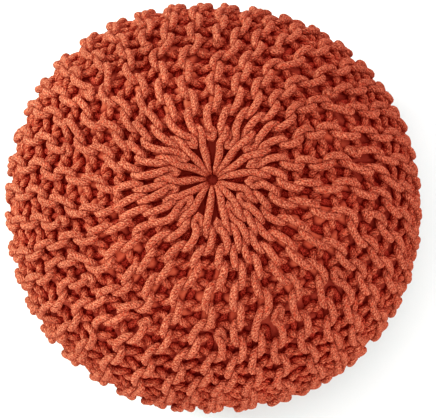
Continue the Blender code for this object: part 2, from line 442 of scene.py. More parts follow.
def evenly(path):
    """The closed path with its points the same distance apart."""
    closed = np.concatenate([path, path[:1]])
    run = np.concatenate([[0], np.cumsum(np.linalg.norm(np.diff(closed, axis=0), axis=1))])
    where = np.linspace(0, run[-1], int(round(run[-1] / SPACING)), endpoint=False)
    return np.stack([np.interp(where, run, closed[:, k]) for k in range(3)], -1)


def lay_out():
    """The loops of all ridges, as they lie before they are settled."""
    rng = np.random.default_rng(LAYING_SEED)
    loops = [evenly(on_pouf(*ridge_path(ridge, rng).T)) for ridge in range(RIDGES)]
    moved = []
    for loop in loops:
        direction, arc, _ = outward(loop)
        push = slow_waves(loop, np.random.default_rng(WAVE_SEED))
        push -= (push * direction).sum(1)[:, None] * direction
        calm = rise(arc, *CALM_RISE) * rise(OUTLINE.length - arc, *CALM_RISE)
        wild = 1 + SHOULDER_WAVES * np.exp(-(((arc - SHOULDER) / SHOULDER_SPAN) ** 2))
        moved.append(loop + push * (calm * wild)[:, None])
    return moved


laid = lay_out()
points = sum(map(len, laid))
print(f"{len(laid)} loops of cord, {points * SPACING:.0f} m in all, {points} points")

# %% [markdown]
# ## Settling the cords
#
# Paths that are drawn by a formula run through each other where real cords touch. So they are settled the way
# cloth is simulated: wherever two cords come closer than squeezed cords can, they push apart, each keeps its
# length and resists a sharp bend, none sinks into the bag, and all are drawn gently inwards. A few dozen
# small steps are enough. Plain arrays do this in a few seconds, where a cloth solver would need a mesh for
# each cord.

# %% Which points are close
def runs(start, many):
    """A run of indices from each start on, and to which start each of them belongs."""
    owner = np.repeat(np.arange(len(many)), many)
    index = np.arange(len(owner)) - np.repeat(np.cumsum(many) - many, many) + np.repeat(start, many)
    return owner, index


def close_pairs(a, b, within):
    """Index pairs (i of a, j of b) nearer than that, by sorting b into cubes as wide as the distance."""
    low = np.minimum(a.min(0), b.min(0)) - within
    size = (np.maximum(a.max(0), b.max(0)) - low) // within + 3
    cube_a = ((a - low) // within).astype(np.int64)
    cube_b = ((b - low) // within).astype(np.int64)
    weight = np.array([size[1] * size[2], size[2], 1], np.int64)
    key_a, key_b = cube_a @ weight, cube_b @ weight
    order = np.argsort(key_b, kind="stable")
    key_b = key_b[order]
    found = []
    for shift in np.ndindex(3, 3, 3):
        target = key_a + (np.array(shift) - 1) @ weight
        start = np.searchsorted(key_b, target, "left")
        i, row = runs(start, np.searchsorted(key_b, target, "right") - start)
        j = order[row]
        near = ((a[i] - b[j]) ** 2).sum(1) < within * within
        found.append(np.stack([i[near], j[near]]))
    return np.concatenate(found, 1)


print("pairs within 4 mm along the first cord:", len(close_pairs(laid[0], laid[0], SPACING)[0]))

# %% All cords in one array
CORD = 0.0090  # thickness of the cord, where nothing presses on it
TOUCHING = 0.0060  # distance between two cords that press on each other
ALONG_ONE = 1.6  # points nearer along one cord than so many times that distance don't press
THINNEST = 0.52  # share of its thickness that a cord keeps where the strands crowd at a gather
CROWDED = 0.27  # that share with no room at all, and how it grows for each cord's width of room
CROWDED_RISE = 0.62
BASE_GATHER = 0.06  # radius within which the strands crowd at the base


class Cords:
    """All loops in one array, with each point's neighbours along its own loop."""

    def __init__(self, loops):
        counts = [len(loop) for loop in loops]
        self.points = np.concatenate(loops)
        self.ridge = np.repeat(np.arange(len(loops)), counts)
        self.place = np.concatenate([np.arange(count) for count in counts])
        self.count = np.repeat(counts, counts)
        first = np.repeat(np.cumsum([0] + counts[:-1]), counts)
        self.after = first + (self.place + 1) % self.count
        self.before = first + (self.place - 1) % self.count
        radius = np.hypot(self.points[:, 0], self.points[:, 1])
        gathered = (self.points[:, 2] > WAIST_HEIGHT) | (radius < BASE_GATHER)
        room = radius * 2 * math.pi / WEDGES / CORD
        squeezed = np.clip(CROWDED + CROWDED_RISE * room, THINNEST, 1.0)
        self.thickness = np.where(gathered, squeezed, 1.0)

    def meeting(self, points, within):
        """Pairs of points of cords that meet, without those that are close only along one cord."""
        i, j = close_pairs(points, points, within)
        once = i < j
        i, j = i[once], j[once]
        gap = np.abs(self.place[i] - self.place[j])
        gap = np.minimum(gap, self.count[i] - gap)
        own = (self.ridge[i] == self.ridge[j]) & (gap <= math.ceil(ALONG_ONE * TOUCHING / SPACING))
        return i[~own], j[~own]


cords = Cords(laid)
print(f"cords {cords.thickness.min() * CORD * 1000:.1f} to {CORD * 1000:.1f} mm thick")

# %% Settle
REACH = 1.45  # pairs are looked for within so many times the distance between touching cords
BAG_DEPTH = 0.0205  # no cord sinks deeper than this into the bag
ROUNDS = 4
STEPS = 12
LENGTH_PASSES = 2
PULL = 0.35  # share of a wrong length or bend that is put right at each step
BAG_PUSH = 0.5
DRAWN_IN = 0.00003  # how far each point is drawn inwards at each step
HELD = 0.004  # share of the way back to where it was laid that a point goes at each step
TINY = 1e-9  # keeps two points in one place from dividing by zero


def settle(cords, rounds):
    """The cords' points after that many rounds of steps."""
    points = cords.points.copy()
    laid = points.copy()
    direction, _, laid_depth = outward(laid)
    after, before = cords.after, cords.before
    length = np.linalg.norm(points[after] - points, axis=1)
    count = len(points)
    laid_bend = (laid[after] + laid[before]) / 2 - laid
    for _ in range(rounds):
        i, j = cords.meeting(points, TOUCHING * REACH)
        apart = TOUCHING * (cords.thickness[i] + cords.thickness[j]) / 2
        for _ in range(STEPS):
            between = points[i] - points[j]
            distance = np.linalg.norm(between, axis=1)
            press = np.maximum(apart - distance, 0)
            on = press > 0
            a, b = i[on], j[on]
            push = between[on] / np.maximum(distance[on], TINY)[:, None] * (press[on] / 2)[:, None]
            axes = [np.bincount(a, part, count) - np.bincount(b, part, count) for part in push.T]
            move = np.stack(axes, -1)
            touched = np.bincount(a, minlength=count) + np.bincount(b, minlength=count)
            points = points + move / np.maximum(touched / 2, 1)[:, None]
            for _ in range(LENGTH_PASSES):
                edge = points[after] - points
                run = np.linalg.norm(edge, axis=1)
                pull = edge * ((run - length) / np.maximum(run, TINY) * PULL)[:, None]
                points = points + pull
                points[after] -= pull
            bend = (points[after] + points[before]) / 2 - points - laid_bend
            points = points - ((bend[after] + bend[before]) / 2 - bend) * PULL
            depth = laid_depth - ((points - laid) * direction).sum(1)
            lift = np.maximum(depth - BAG_DEPTH, 0) * BAG_PUSH - DRAWN_IN
            points = points + direction * lift[:, None]
            points = points + (laid - points) * HELD
    print(f"{len(i)} pairs of points that meet, deepest press {press.max() * 1000:.1f} mm")
    return points


cords.points = settle(cords, ROUNDS)
FLOOR_CLEAR = 0.0046  # lowest height of a cord's middle, a bit more than half its thickness
cords.points[:, 2] = np.maximum(cords.points[:, 2], FLOOR_CLEAR)
moved = np.linalg.norm(cords.points - np.concatenate(laid), axis=1) * 1000
print(f"settling moved the cords by {moved.mean():.1f} mm on average, by {moved.max():.0f} mm at most")

# %% [markdown]
# ## From path to cord
#
# Geometry Nodes turn each path into a cord. The tree takes a mesh of bare edges, makes it a curve, sweeps a
# ring of the cord's radius along it, and notes for the material which way round the ring each point is. The
# paths bring along a second value, how far along the cord it is. Both let the twist of the cord follow every
# bend.

# %% Helpers for node trees
def node(tree, kind, at, **settings):
    """A new node at that place in the tree's editor."""
    made = tree.nodes.new(kind)
    made.location = at
    for key, value in settings.items():
        setattr(made, key, value)
    return made


def feed(tree, socket, value):
    """Sets a socket, or links it if value is another node's socket."""
    if isinstance(value, bpy.types.NodeSocket):
        tree.links.new(value, socket)
    else:
        socket.default_value = value


def fill_in(tree, made, **values):
    """Feeds the sockets of those names, with _ for a space."""
    for name, value in values.items():
        feed(tree, made.inputs[name.replace("_", " ")], value)
    return made


def group(name, tree_kind, inputs, outputs):
    """An empty node group with its sockets. inputs are (name, kind, value), outputs (name, kind)."""
    tree = bpy.data.node_groups.new(name, tree_kind)
    for key, kind, value in inputs:
        made = tree.interface.new_socket(key, in_out="INPUT", socket_type="NodeSocket" + kind)
        if value is not None:
            made.default_value = value
    for key, kind in outputs:
        tree.interface.new_socket(key, in_out="OUTPUT", socket_type="NodeSocket" + kind)
    return tree, node(tree, "NodeGroupInput", (-900, 0)), node(tree, "NodeGroupOutput", (700, 0))


print("node trees are built by Blender", bpy.app.version_string)

# %% Node tree for a cord
SIDES = 10  # of the ring that is swept along a cord


def cord_tree():
    tree, given, result = group(
        "cord_along_path", "GeometryNodeTree",
        [
            ("Geometry", "Geometry", None), ("Cord radius", "Float", CORD / 2),
            ("Sides", "Int", SIDES), ("Material", "Material", None),
        ],
        [("Geometry", "Geometry")],
    )
    curve = node(tree, "GeometryNodeMeshToCurve", (-700, 100))
    ring = node(tree, "GeometryNodeCurvePrimitiveCircle", (-900, -200))
    place = node(tree, "GeometryNodeInputPosition", (-900, -340))
    unit = node(tree, "ShaderNodeVectorMath", (-720, -320), operation="NORMALIZE")
    kept = node(tree, "GeometryNodeStoreNamedAttribute", (-520, -200), data_type="FLOAT_VECTOR")
    thick = node(tree, "GeometryNodeInputNamedAttribute", (-520, -60), data_type="FLOAT")
    fill_in(tree, kept, Name="cord_around")
    fill_in(tree, thick, Name="cord_thickness")
    sweep = node(tree, "GeometryNodeCurveToMesh", (-300, 60))
    smooth = node(tree, "GeometryNodeSetShadeSmooth", (-120, 60))
    finish = node(tree, "GeometryNodeSetMaterial", (60, 60))
    real = node(tree, "GeometryNodeRealizeInstances", (240, 60))
    for source, output, target, socket in (
        (given, "Geometry", curve, "Mesh"),
        (given, "Sides", ring, "Resolution"),
        (given, "Cord radius", ring, "Radius"),
        (ring, "Curve", kept, "Geometry"),
        (place, "Position", unit, 0),
        (unit, "Vector", kept, "Value"),
        (curve, "Curve", sweep, "Curve"),
        (kept, "Geometry", sweep, "Profile Curve"),
        (thick, "Attribute", sweep, "Scale"),
        (sweep, "Mesh", smooth, "Geometry"),
        (smooth, "Geometry", finish, "Geometry"),
        (given, "Material", finish, "Material"),
        (finish, "Geometry", real, "Geometry"),
        (real, "Geometry", result, "Geometry"),
    ):
        tree.links.new(source.outputs[output], target.inputs[socket])
    return tree


CORD_TREE = cord_tree()
SOCKETS = CORD_TREE.interface.items_tree
CORD_INPUT = {item.name: item.identifier for item in SOCKETS if item.in_out == "INPUT"}
print("cord tree inputs:", ", ".join(CORD_INPUT))

# %% [markdown]
# The cover goes into three pieces, one for each kind of ridge, so that none gets too heavy. The settled paths
# are laid down as bare edges with three values on each point: how thick the cord is there, since it is
# squeezed at the gather, how far along the cord the point lies, and its number, so that each vertex of a tube
# knows its point. Each path is swept once and kept as a plain mesh. The two materials are only named here and
# get their looks further down.

# %% Cord pieces
RIDGE_SHIFT = 0.37  # shifts the plies of each cord against those of the next, in metres along it
cord_material = bpy.data.materials.new("cotton_cord")
bag_material = bpy.data.materials.new("bag_cloth")


def linked(name, mesh):
    piece = bpy.data.objects.new(name, mesh)
    bpy.context.scene.collection.objects.link(piece)
    return piece


def note(mesh, name, values, kind="FLOAT", number=np.float32):
    """Keeps a value for each vertex."""
    mesh.attributes.new(name, kind, "POINT").data.foreach_set("value", values.astype(number))


def cord_piece(name, ridges, cords):
    """The cords of those ridges as one mesh of tubes."""
    chosen = np.flatnonzero(np.isin(cords.ridge, ridges))
    index = np.full(len(cords.points), -1)
    index[chosen] = np.arange(len(chosen))
    mesh = bpy.data.meshes.new(name + "_path")
    mesh.vertices.add(len(chosen))
    mesh.vertices.foreach_set("co", cords.points[chosen].ravel())
    edges = np.stack([index[chosen], index[cords.after[chosen]]], -1)
    mesh.edges.add(len(edges))
    mesh.edges.foreach_set("vertices", edges.ravel())
    note(mesh, "cord_thickness", cords.thickness[chosen])
    note(mesh, "cord_along", cords.place[chosen] * SPACING + RIDGE_SHIFT * cords.ridge[chosen])
    note(mesh, "cord_point", chosen, "INT", np.int32)
    path = linked(name + "_path", mesh)
    sweep = path.modifiers.new("cord", "NODES")
    sweep.node_group = CORD_TREE
    sweep[CORD_INPUT["Cord radius"]] = CORD / 2
    sweep[CORD_INPUT["Sides"]] = SIDES
    sweep[CORD_INPUT["Material"]] = cord_material
    graph = bpy.context.evaluated_depsgraph_get()
    made = bpy.data.meshes.new_from_object(path.evaluated_get(graph))
    made.name = name
    path.modifiers.clear()
    bpy.data.objects.remove(path, do_unlink=True)
    return linked(name, made)


ROWS = {"knit_long_rows": LONG, "knit_middle_rows": MIDDLE, "knit_short_rows": SHORT}
cord_pieces = {name: cord_piece(name, np.flatnonzero(KIND == kind), cords) for name, kind in ROWS.items()}
for name, piece in cord_pieces.items():
    kept = sorted(item.name for item in piece.data.attributes if item.name.startswith("cord"))
    print(name, len(piece.data.polygons), "faces", kept)

# %% [markdown]
# Soft cord gives where it is pressed. Wherever two tubes would still cut into each other, each is flattened
# to the plane halfway between them, and the same is done at the floor. Then each vertex gets one more value,
# how deep it lies under the outermost surface, because the finish paints light and shade by that depth.

# %% Press the cords flat where they touch
PRESSES = 3  # a vertex may be pressed by several cords, one after the other
PRESS_GAP = 0.0001  # half of what stays between two cords that touch


def vertices_of(mesh):
    points = np.empty(len(mesh.vertices) * 3, np.float32)
    mesh.vertices.foreach_get("co", points)
    return points.reshape(-1, 3).astype(float)


def press_flat(pieces, cords):
    """Moves each vertex that is past the plane halfway to another cord back to that plane."""
    i, j = cords.meeting(cords.points, CORD)
    first, second = np.concatenate([i, j]), np.concatenate([j, i])
    order = np.argsort(first, kind="stable")
    first, second = first[order], second[order]
    starts = np.searchsorted(first, np.arange(len(cords.points) + 1))
    for piece in pieces:
        mesh = piece.data
        points = vertices_of(mesh)
        owner = np.empty(len(points), np.int32)
        mesh.attributes["cord_point"].data.foreach_get("value", owner)
        vertex, row = runs(starts[owner], starts[owner + 1] - starts[owner])
        for _ in range(PRESSES):
            centre = cords.points[owner[vertex]]
            line = cords.points[second[row]] - centre
            distance = np.linalg.norm(line, axis=1)
            line /= np.maximum(distance, TINY)[:, None]
            past = ((points[vertex] - centre) * line).sum(1) - distance / 2 + PRESS_GAP
            deepest = np.zeros(len(points))
            np.maximum.at(deepest, vertex, past)
            chosen = (past > 0) & (past >= deepest[vertex])
            points[vertex[chosen]] -= line[chosen] * past[chosen][:, None]
        points[:, 2] = np.maximum(points[:, 2], 0.0)
        mesh.vertices.foreach_set("co", points.astype(np.float32).ravel())
        mesh.update()


press_flat(cord_pieces.values(), cords)
for name, piece in cord_pieces.items():
    points = vertices_of(piece.data)
    note(piece.data, "cord_depth", outward(points)[2])
    print(f"{name} lies between {points[:, 2].min():.3f} and {points[:, 2].max():.3f} m")

# %% [markdown]
# ## The bag inside
#
# The stuffed bag fills the cover, so its cloth presses against the cords from inside: it is held down under
# each cord and swells a little into each gap. It starts as the pouf's own form and is settled like a drum
# skin: an even push outwards, a pull towards its neighbours, and a stop at the underside of the cords.

# %% Where cords hold the cloth down
BAG_RINGS = 170
BAG_COLUMNS = 400
BAG_START = 0.0185  # its depth before it is settled
BAG_SWELL = 0.0014  # how far the cloth is pushed outwards at each pass
BAG_PASSES = 90
BAG_BULGE = 0.0085  # how far it may swell out of its first form
BULGE_RISE = (0.035, 0.03)  # arc length from which it may do so, and over which that grows
SIDE_RISE = (0.15, 0.04)  # the same for the side, where it swells less
SIDE_LESS = 0.6
BAG_KNOB = 0.0090  # height of the small knob that shows in the hole of the gather
KNOB_RISE = (0.003, 0.008)
UNDER_REACH = 0.019  # cords further away than this don't hold the cloth down
NO_CORD = -1.0
BAG_FLOOR = 0.0005


def underside(points, direction, cords):
    """How far each point has to go inwards to lie under the cords that pass over it."""
    half = CORD / 2
    i, j = close_pairs(points, cords.points, UNDER_REACH)
    away = cords.points[j] - points[i]
    height = (away * direction[i]).sum(1)
    aside = np.linalg.norm(away - height[:, None] * direction[i], axis=1)
    over = aside < half
    i, j, height, aside = i[over], j[over], height[over], aside[over]
    need = np.full(len(points), NO_CORD)
    np.maximum.at(need, i, np.sqrt(half * half - aside**2) - height)
    return need


print(f"the cloth is {BAG_RINGS} rings of {BAG_COLUMNS} points")

# %% Stuffed bag
def make_bag(cords):
    """The stuffed bag as one closed mesh, under the cords."""
    arc = np.linspace(0, OUTLINE.length, BAG_RINGS + 2)[1:-1]
    angle = np.linspace(0, 2 * math.pi, BAG_COLUMNS, endpoint=False)
    arcs, angles = (grid.ravel() for grid in np.meshgrid(arc, angle, indexing="ij"))
    base = on_pouf(arcs, angles, np.full(len(arcs), BAG_START))
    _, _, out, up = OUTLINE.at(arcs)
    direction = np.stack([out * np.cos(angles), out * np.sin(angles), up], -1)
    need = underside(base, direction, cords).reshape(BAG_RINGS, BAG_COLUMNS)
    sink = np.maximum(need, 0.0)
    bulge = BAG_BULGE * rise(arc, *BULGE_RISE) * (1 - SIDE_LESS * rise(arc, *SIDE_RISE))
    bulge = (bulge + BAG_KNOB * (1 - rise(arc, *KNOB_RISE)))[:, None]
    for _ in range(BAG_PASSES):
        padded = np.pad(sink, ((1, 1), (0, 0)), "edge")
        around = (np.roll(sink, 1, 1) + np.roll(sink, -1, 1) + padded[2:] + padded[:-2]) / 4
        sink = np.maximum(around - BAG_SWELL, need)
        sink = np.maximum(sink, -bulge)
    points = base - direction * sink.ravel()[:, None]
    points[:, 2] = np.maximum(points[:, 2], BAG_FLOOR)
    top = [0, 0, points[:BAG_COLUMNS, 2].mean()]
    bottom = [0, 0, points[-BAG_COLUMNS:, 2].mean()]
    points = np.concatenate([points, [top, bottom]])
    ring, column = np.meshgrid(np.arange(BAG_RINGS - 1), np.arange(BAG_COLUMNS), indexing="ij")
    here = ring * BAG_COLUMNS + column
    beside = ring * BAG_COLUMNS + (column + 1) % BAG_COLUMNS
    quads = np.stack([here, here + BAG_COLUMNS, beside + BAG_COLUMNS, beside], -1).reshape(-1, 4)
    last = (BAG_RINGS - 1) * BAG_COLUMNS
    count = BAG_RINGS * BAG_COLUMNS
    turn = np.arange(BAG_COLUMNS)
    after = (turn + 1) % BAG_COLUMNS
    top_cap = np.stack([np.full(BAG_COLUMNS, count), turn, after], -1)
    bottom_cap = np.stack([np.full(BAG_COLUMNS, count + 1), last + after, last + turn], -1)
    mesh = bpy.data.meshes.new("stuffed_bag")
    mesh.from_pydata(points.tolist(), [], quads.tolist() + top_cap.tolist() + bottom_cap.tolist())
    mesh.shade_smooth()
    mesh.materials.append(bag_material)
    depth = np.append(sink.ravel(), [sink[0].mean(), sink[-1].mean()]) + BAG_START
    note(mesh, "bag_depth", depth)
    return linked("stuffed_bag", mesh)


bag = make_bag(cords)
print("bag", len(bag.data.polygons), "faces")

# %% [markdown]
# ## Finishes
#
# The cord is soft cotton: a few plies twisted together, each a bundle of fine threads, dyed a strong
# terracotta that took unevenly, so paler and darker threads fleck it. A picture of yarn wrapped round each
# tube would stretch at every bend. Instead the material reads the two values that each point carries, the way
# round and the length along, and turns the one by the other, so the plies wind along the cord as they do on
# the real one.

# %% Helpers for materials
def shader(material):
    material.use_nodes = True
    tree = material.node_tree
    tree.nodes.clear()
    result = node(tree, "ShaderNodeOutputMaterial", (900, 0))
    surface = node(tree, "ShaderNodeBsdfPrincipled", (600, 0))
    tree.links.new(surface.outputs["BSDF"], result.inputs["Surface"])
    return tree, surface


def sum_of(tree, operation, at, *values):
    made = node(tree, "ShaderNodeMath", at, operation=operation)
    for socket, value in zip(made.inputs, values):
        feed(tree, socket, value)
    return made.outputs[0]


def vector_of(tree, at, x, y, z):
    made = node(tree, "ShaderNodeCombineXYZ", at)
    for socket, value in zip(made.inputs, (x, y, z)):
        feed(tree, socket, value)
    return made.outputs[0]


def noise_of(tree, at, vector, scale, detail, roughness):
    made = node(tree, "ShaderNodeTexNoise", at)
    fill_in(tree, made, Vector=vector, Scale=scale, Detail=detail, Roughness=roughness)
    return made.outputs["Fac"]


def stretched(tree, at, value, low, high, to_low=0.0, to_high=1.0):
    """The value stretched from low..high to to_low..to_high, and held at their ends."""
    made = node(tree, "ShaderNodeMapRange", at)
    fill_in(tree, made, Value=value, From_Min=low, From_Max=high, To_Min=to_low, To_Max=to_high)
    return made.outputs["Result"]


def mixed(tree, at, share, first, second):
    """The first colour with that share of the second."""
    made = node(tree, "ShaderNodeMix", at, data_type="RGBA")
    for socket, value in ((0, share), (6, first), (7, second)):  # the ones that a colour mix uses
        feed(tree, made.inputs[socket], value)
    return made.outputs[2]


def brightened(tree, at, colour, by):
    made = node(tree, "ShaderNodeVectorMath", at, operation="SCALE")
    feed(tree, made.inputs[0], colour)
    return fill_in(tree, made, Scale=by).outputs[0]


def raised(tree, at, height, strength, distance):
    """A relief, for a surface's Normal."""
    made = node(tree, "ShaderNodeBump", at)
    return fill_in(tree, made, Strength=strength, Distance=distance, Height=height).outputs["Normal"]


def placed(tree, made, at, **values):
    """The group in a material, with its own values."""
    return fill_in(tree, node(tree, "ShaderNodeGroup", at, node_tree=made), **values)


print("materials to fill in:", ", ".join(item.name for item in bpy.data.materials if not item.use_nodes))

# %% [markdown]
# The twist is a group of its own, because its masks feed the colour, the roughness and the relief at once.
# The way round minus the turns so far gives a line that winds along the cord: a wave over it makes the plies,
# and its low points the grooves. Flecks and fibres are noise that is laid along the threads, which wind less
# than the plies.

# %% Twist of the cord
PLY_ROUND = 0.6  # below 1 the plies are rounder and the grooves narrower
GROOVE = (0.55, 0.05)  # height of the plies where a groove starts, and where it is deepest
LAY = 0.3  # how much of the plies' twist the fibres follow
ROUGHNESS = 0.6  # of the noise for flecks, fibres and dye


def twist_group():
    """Masks that wind along the cord with its plies, and the height of the plies."""
    tree, given, result = group(
        "twisted_plies", "ShaderNodeTree",
        [
            ("Around", "Vector", (1, 0, 0)), ("Along", "Float", 0.0), ("Plies", "Float", 3.0),
            ("Pitch", "Float", 0.02), ("Fleck size", "Float", 0.5), ("Fibre size", "Float", 0.15),
        ],
        [("Height", "Float"), ("Groove", "Float"), ("Fleck", "Float"), ("Fibre", "Float")],
    )
    way = node(tree, "ShaderNodeSeparateXYZ", (-720, 120))
    feed(tree, way.inputs[0], given.outputs["Around"])
    angle = sum_of(tree, "ARCTAN2", (-560, 120), way.outputs[1], way.outputs[0])
    turns = sum_of(tree, "DIVIDE", (-560, -60), given.outputs["Along"], given.outputs["Pitch"])
    turned = sum_of(tree, "MULTIPLY", (-400, -60), turns, 2 * math.pi)
    wound = sum_of(tree, "SUBTRACT", (-240, 60), angle, turned)
    phase = sum_of(tree, "MULTIPLY", (-80, 120), wound, given.outputs["Plies"])
    half = sum_of(tree, "MULTIPLY", (80, 120), phase, 0.5)
    wave = sum_of(tree, "ABSOLUTE", (400, 120), sum_of(tree, "COSINE", (240, 120), half))
    feed(tree, result.inputs["Height"], sum_of(tree, "POWER", (560, 120), wave, PLY_ROUND))
    feed(tree, result.inputs["Groove"], stretched(tree, (560, 280), wave, *GROOVE))
    eased = sum_of(tree, "MULTIPLY", (-240, -160), turned, LAY)
    lay = sum_of(tree, "SUBTRACT", (-80, -100), angle, eased)
    thread = vector_of(
        tree,
        (240, -80),
        sum_of(tree, "COSINE", (80, -60), lay),
        sum_of(tree, "SINE", (80, -200), lay),
        sum_of(tree, "DIVIDE", (80, -340), given.outputs["Along"], CORD / 2),
    )
    for key, size, detail, height in (("Fleck", "Fleck size", 3.0, -60), ("Fibre", "Fibre size", 1.0, -260)):
        scale = sum_of(tree, "DIVIDE", (240, height - 60), 1.0, given.outputs[size])
        feed(tree, result.inputs[key], noise_of(tree, (460, height), thread, scale, detail, ROUGHNESS))
    return tree


TWIST = twist_group()
print("twist group's sockets:", ", ".join(item.name for item in TWIST.interface.items_tree))

# %% [markdown]
# Cotton that is dyed in the hank takes the colour unevenly, and so does the bag's cloth. Both materials share
# one group that lets the brightness drift by about a tenth over a few centimetres.

# %% Uneven dye
DRIFT = (0.3, 0.7, -1.0, 1.0)  # the range of the noise, and of the drift that it gives


def dye_group():
    """A colour whose brightness drifts over the pouf."""
    tree, given, result = group(
        "uneven_dye", "ShaderNodeTree",
        [("Color", "Color", (1, 1, 1, 1)), ("Depth", "Float", 0.1), ("Size", "Float", 0.08)],
        [("Color", "Color")],
    )
    place = node(tree, "ShaderNodeTexCoord", (-900, -200))
    scale = sum_of(tree, "DIVIDE", (-720, -200), 1.0, given.outputs["Size"])
    drift = noise_of(tree, (-540, -200), place.outputs["Object"], scale, 3.0, ROUGHNESS)
    swing = stretched(tree, (-340, -200), drift, *DRIFT)
    shift = sum_of(tree, "MULTIPLY", (-160, -160), swing, given.outputs["Depth"])
    bright = sum_of(tree, "ADD", (20, -160), shift, 1.0)
    feed(tree, result.inputs["Color"], brightened(tree, (240, 0), given.outputs["Color"], bright))
    return tree


DYE = dye_group()
print("dye group ready, used by both materials")

# %% [markdown]
# On the cord, the outside is painted a paler orange, partly as rubbed and faded and partly as painted light
# on the tops, and the parts lower down are painted the stronger red of the dye, and deeper still darker, as
# painted shade. The depth that was noted on each point mixes them. Dark flecks and painted shade in the
# grooves between the plies come on top, and last the grain of the single fibres. Cotton has hardly any shine,
# so the surface is rough with next to no gloss.

# %% Cotton cord
PLIES = 6
TWIST_PITCH = 0.022
CORD_PALE = (0.475, 0.169, 0.109, 1)
CORD_STRONG = (0.52, 0.131, 0.077, 1)
# dark threads of the uneven dye, and the same colour as painted shade in the grooves
CORD_DARK_FLECK_AND_SHADE = (0.36, 0.068, 0.038, 1)
# painted shade colour for the cord where it lies deep
CORD_SHADE = (0.40, 0.074, 0.050, 1)
WORN_AND_LIT = (0.0150, 0.0050)  # depth down to which the cord is painted paler, partly as rubbed and partly as painted light, and where it is palest
SHADE_DEPTH = (0.0095, 0.0135)  # depth where the cord starts to be painted darker, as shade, and where that painted shade is darkest
SHADE_SHARE = 0.92
FLECK_SIZE = 0.52
FLECKS = (0.50, 0.38)  # fleck noise where a dark thread starts, and where it is darkest
FLECK_SHARE = 0.85
CLEFT_SHADE_SHARE = 0.72  # how much painted shade darkens the grooves between the plies
FIBRE_SIZE = 0.34
GRAIN = (0.37, 0.61, 0.42, 1.37)  # the range of the fibre noise, and of the brightness that it gives
CORD_ROUGH = (0.3, 0.7, 0.82, 0.98)  # the same for the roughness
PLY_RELIEF = 0.30
FLECK_RELIEF = 1.4
CORD_RELIEF = 0.0028


def finish_cord(material):
    tree, surface = shader(material)
    around = node(tree, "ShaderNodeAttribute", (-1500, 200), attribute_name="cord_around")
    along = node(tree, "ShaderNodeAttribute", (-1500, 0), attribute_name="cord_along")
    depth = node(tree, "ShaderNodeAttribute", (-1500, -200), attribute_name="cord_depth")
    twist = placed(
        tree, TWIST, (-1200, 100),
        Around=around.outputs["Vector"], Along=along.outputs["Fac"], Plies=float(PLIES), Pitch=TWIST_PITCH,
        Fleck_size=FLECK_SIZE, Fibre_size=FIBRE_SIZE,
    )
    fleck, fibre = twist.outputs["Fleck"], twist.outputs["Fibre"]
    # painted light and shade by depth, partly wear: cord near the outside is painted paler, cord lower down a
    # stronger red
    worn_and_lit = stretched(tree, (-1040, -300), depth.outputs["Fac"], *WORN_AND_LIT)
    dark = stretched(tree, (-860, -120), fleck, *FLECKS)
    # painted shade: the deeper the cord, the more of the shade colour
    painted_shade = stretched(tree, (-620, -340), depth.outputs["Fac"], *SHADE_DEPTH)
    colour = mixed(tree, (-620, 60), worn_and_lit, CORD_STRONG, CORD_PALE)
    # dark flecks of dye, then painted shade in the grooves between the plies and in the depths
    for x, mask, share, darker in (
        (-440, dark, FLECK_SHARE, CORD_DARK_FLECK_AND_SHADE),
        (-260, twist.outputs["Groove"], CLEFT_SHADE_SHARE, CORD_DARK_FLECK_AND_SHADE),
        (-80, painted_shade, SHADE_SHARE, CORD_SHADE),
    ):
        colour = mixed(tree, (x, 60), sum_of(tree, "MULTIPLY", (x, -120), mask, share), colour, darker)
    grain = brightened(tree, (20, 200), colour, stretched(tree, (-160, 260), fibre, *GRAIN))
    relief = sum_of(
        tree, "ADD", (120, -420),
        sum_of(tree, "MULTIPLY", (-80, -380), twist.outputs["Height"], PLY_RELIEF),
        sum_of(tree, "MULTIPLY", (-80, -540), fleck, FLECK_RELIEF),
    )
    fill_in(
        tree, surface,
        Base_Color=placed(tree, DYE, (180, 60), Color=grain, Depth=0.10, Size=0.07).outputs["Color"],
        Roughness=stretched(tree, (120, -160), fibre, *CORD_ROUGH),
        Normal=raised(tree, (340, -380), relief, 1.0, CORD_RELIEF),
        Sheen_Weight=0.01, Sheen_Roughness=0.5, Sheen_Tint=(1.0, 0.45, 0.30, 1), Specular_IOR_Level=0.04,
    )


finish_cord(cord_material)

# %% [markdown]
# The bag is a plain, tightly woven cloth of nearly the same colour, a little darker and smoother. Its weave
# is fine, a thread to the millimetre or less, so it is only a light relief. Where it is held down deep under
# the cords it is painted darker as painted shade, and where it swells up between them it keeps its lit
# colour.

# %% Bag cloth
BAG_PALE = (0.48, 0.150, 0.088, 1)
BAG_RED = (0.45, 0.110, 0.064, 1)
# painted shade colour for the cloth where it lies deep
BAG_SHADE = (0.25, 0.056, 0.038, 1)
BAG_SHADE_DEPTHS = (0.0155, 0.0100)  # depth where the cloth is painted in full shade, held down, and where it keeps its lit colour, swollen out
MOTTLE = (0.35, 0.65)  # mottle noise where the cloth is reddest, and where it is palest
BAG_ROUGH = (0.3, 0.7, 0.80, 0.95)
MOTTLE_SCALE = 60.0
WEAVE_SCALE = 900.0
WEAVE_RELIEF = 0.0004


